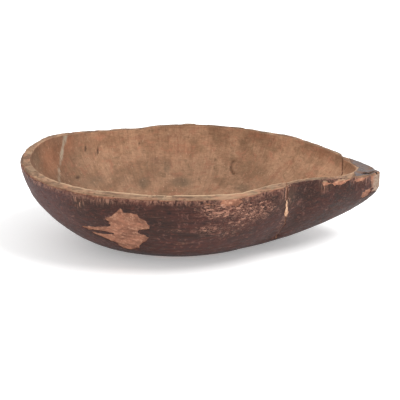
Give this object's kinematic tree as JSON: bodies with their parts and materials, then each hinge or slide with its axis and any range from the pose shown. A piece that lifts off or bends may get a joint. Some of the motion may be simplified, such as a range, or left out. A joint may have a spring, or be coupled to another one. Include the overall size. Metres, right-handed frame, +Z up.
{
  "type": "carved wooden bowl",
  "caption": "Leaf-shaped dug-out wooden bowl with a rounded heel, a pointed nose with a solid flat top, painted outside, broken and refitted nose, worn flat to stand on.",
  "frame": {"origin": "on the floor, under the middle of the bowl's length and width", "axes": "+X from the rounded heel to the pointed nose, +Z up, -Y towards the side with the bare patch and the filled break"},
  "size_m": [0.4599, 0.27, 0.1163],
  "materials": {
    "wood": "bare, weathered, hand-gouged, matt",
    "paint": "old dark red-brown paint, scuffed, faint sheen",
    "filler": "pale dried filler, matt"
  },
  "bodies": {
    "root": {"bowl_body": "wood", "nose_section": "wood", "body_paint": "paint", "nose_paint": "paint", "break_filler": "filler"}
  },
  "joints": []
}
